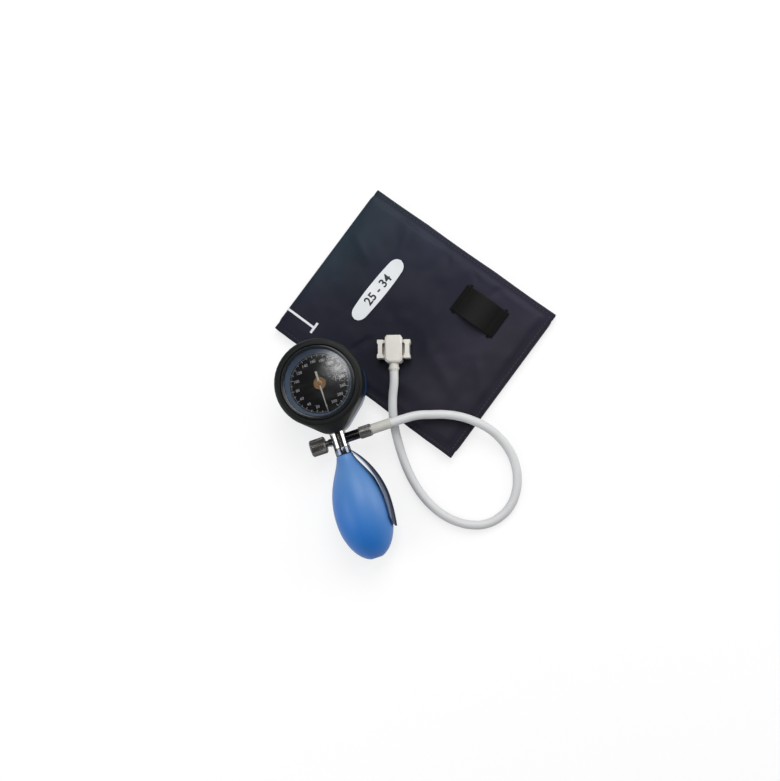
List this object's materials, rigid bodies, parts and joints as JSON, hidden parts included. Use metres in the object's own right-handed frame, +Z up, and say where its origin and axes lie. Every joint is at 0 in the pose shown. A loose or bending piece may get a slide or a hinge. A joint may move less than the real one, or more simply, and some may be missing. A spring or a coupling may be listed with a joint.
{
  "type": "aneroid sphygmomanometer",
  "caption": "Palm blood pressure gauge with a geared dial movement, release valve and squeeze bulb, joined by a hose with a squeeze-tab fitting to a folded cuff.",
  "frame": {"origin": "on the resting surface, under the middle of the box round everything except the hose", "axes": "+Z up, out of the dial's face; +Y along the gauge's stem, from the bulb to the gauge; +X towards the hose port and the cuff"},
  "size_m": [0.2341, 0.2962, 0.045],
  "materials": {
    "shell_blue": "satin moulded plastic",
    "black_metal": "black painted ring",
    "black_rubber": "smooth moulded rubber",
    "black_plastic": "satin moulded plastic",
    "clear_lens": "clear domed crystal",
    "seal_rubber": "soft seal",
    "ring_blue": "glossy moulded plastic",
    "dial_black": "matt black print",
    "pointer_cream": "painted",
    "brass": "turned",
    "bronze": "rolled",
    "blued_steel": "blued",
    "steel": "turned",
    "cast_zinc": "cast",
    "chrome": "polished plating",
    "dark_nickel": "dark plating",
    "cream_plastic": "smooth",
    "ivory_plastic": "smooth moulded plastic",
    "hose_rubber": "smooth light grey tube",
    "bulb_rubber": "smooth blue rubber",
    "cuff_fabric": "coated woven nylon",
    "webbing": "woven tape",
    "hook_fabric": "hook tape",
    "loop_fabric": "brushed loop pile"
  },
  "bodies": {
    "instrument": {"rear_shell": "shell_blue", "case_screws": "steel", "stem_screw": "steel", "case_ring": "black_metal", "bumper": "black_rubber", "bezel_ring": "black_plastic", "lens": "clear_lens", "lens_gasket": "seal_rubber", "inner_ring": "ring_blue", "dial": "dial_black", "hairspring": "blued_steel", "movement_top_plate": "brass", "movement_bottom_plate": "brass", "lower_pillars": "brass", "upper_pillars": "brass", "movement_screws": "steel", "capsule": "bronze", "inlet_block": "cast_zinc", "inlet_filter": "bronze", "stem_seal": "seal_rubber", "valve_body": "chrome", "valve_seat": "brass", "valve_bonnet": "chrome", "outlet_seat": "brass", "hose_nipple": "dark_nickel", "hose_sleeve": "cream_plastic", "bulb": "bulb_rubber", "intake_housing": "chrome", "intake_retainer": "brass", "hose": "hose_rubber", "fitting_body": "ivory_plastic", "port_seal": "seal_rubber", "cuff_port": "black_plastic", "port_ring": "black_plastic", "cuff": "cuff_fabric", "gauge_loop": "webbing", "hook_patch": "hook_fabric", "loop_patch": "loop_fabric"},
    "pointer_assembly": {"pointer": "pointer_cream", "pointer_hub": "brass", "pinion_arbor": "brass"},
    "sector": {"sector_gear": "brass"},
    "rocker": {"rocker_shaft": "steel"},
    "pusher": {"capsule_pusher": "steel"},
    "needle": {"release_needle": "steel"},
    "knob": {"valve_knob": "dark_nickel", "valve_stem": "dark_nickel"},
    "outlet_flap": {"outlet_disc": "seal_rubber"},
    "intake_flap": {"intake_disc": "seal_rubber"},
    "left_tab": {"latch_tab_left": "ivory_plastic"},
    "right_tab": {"latch_tab_right": "ivory_plastic"},
    "nut": {"hose_nut": "dark_nickel"},
    "palm_spoon": {"spoon": "chrome"}
  },
  "joints": [
    {"name": "pointer_sweep", "type": "hinge", "parent": "instrument", "child": "pointer_assembly", "pos_m": [-0.0814, 0, 0.035], "axis": [0, 0, -1], "range_deg": [0, 338.3]},
    {"name": "sector_swing", "type": "hinge", "parent": "instrument", "child": "sector", "pos_m": [-0.08603, 0.0149, 0.0294], "axis": [0, 0, 1], "range_deg": [0, 28.3]},
    {"name": "rocker_tilt", "type": "hinge", "parent": "instrument", "child": "rocker", "pos_m": [-0.0844, 0.008, 0.0252], "axis": [0, -1, 0], "range_deg": [0, 19.6]},
    {"name": "capsule_push", "type": "slide", "parent": "instrument", "child": "pusher", "axis": [0, 0, 1], "range_m": [0, 0.001], "stiffness_N_per_m": 100, "deforming": ["capsule"]},
    {"name": "valve_needle_travel", "type": "slide", "parent": "instrument", "child": "needle", "axis": [-1, 0, 0], "range_m": [0, 0.0016]},
    {"name": "valve_knob_turn", "type": "hinge", "parent": "needle", "child": "knob", "pos_m": [-0.0984, -0.047, 0.0225], "axis": [-1, 0, 0], "range_deg": [0, 720]},
    {"name": "outlet_flap_lift", "type": "slide", "parent": "instrument", "child": "outlet_flap", "axis": [0, 1, 0], "range_m": [0, 0.0006]},
    {"name": "intake_flap_lift", "type": "slide", "parent": "instrument", "child": "intake_flap", "axis": [0, 1, 0], "range_m": [0, 0.0006]},
    {"name": "left_tab_press", "type": "slide", "parent": "instrument", "child": "left_tab", "axis": [0.9511, -0.309, 0], "range_m": [0, 0.0012], "stiffness_N_per_m": 3000},
    {"name": "right_tab_press", "type": "slide", "parent": "instrument", "child": "right_tab", "axis": [-0.9511, 0.309, 0], "range_m": [0, 0.0012], "stiffness_N_per_m": 3000},
    {"name": "hose_nut_turn", "type": "hinge", "parent": "instrument", "child": "nut", "pos_m": [-0.0604, -0.047, 0.0225], "axis": [1, 0, 0], "continuous": true},
    {"name": "spoon_swivel", "type": "hinge", "parent": "instrument", "child": "palm_spoon", "pos_m": [-0.0814, -0.0567, 0.0225], "axis": [0, 1, 0], "range_deg": [-180, 0]}
  ],
  "couplings": [
    {"joint": "pointer_sweep", "follows": "capsule_push", "rad_per_m": 5904.4},
    {"joint": "sector_swing", "follows": "capsule_push", "rad_per_m": 492.04},
    {"joint": "rocker_tilt", "follows": "capsule_push", "rad_per_m": 339.8},
    {"joint": "valve_knob_turn", "follows": "valve_needle_travel", "rad_per_m": 7854}
  ]
}
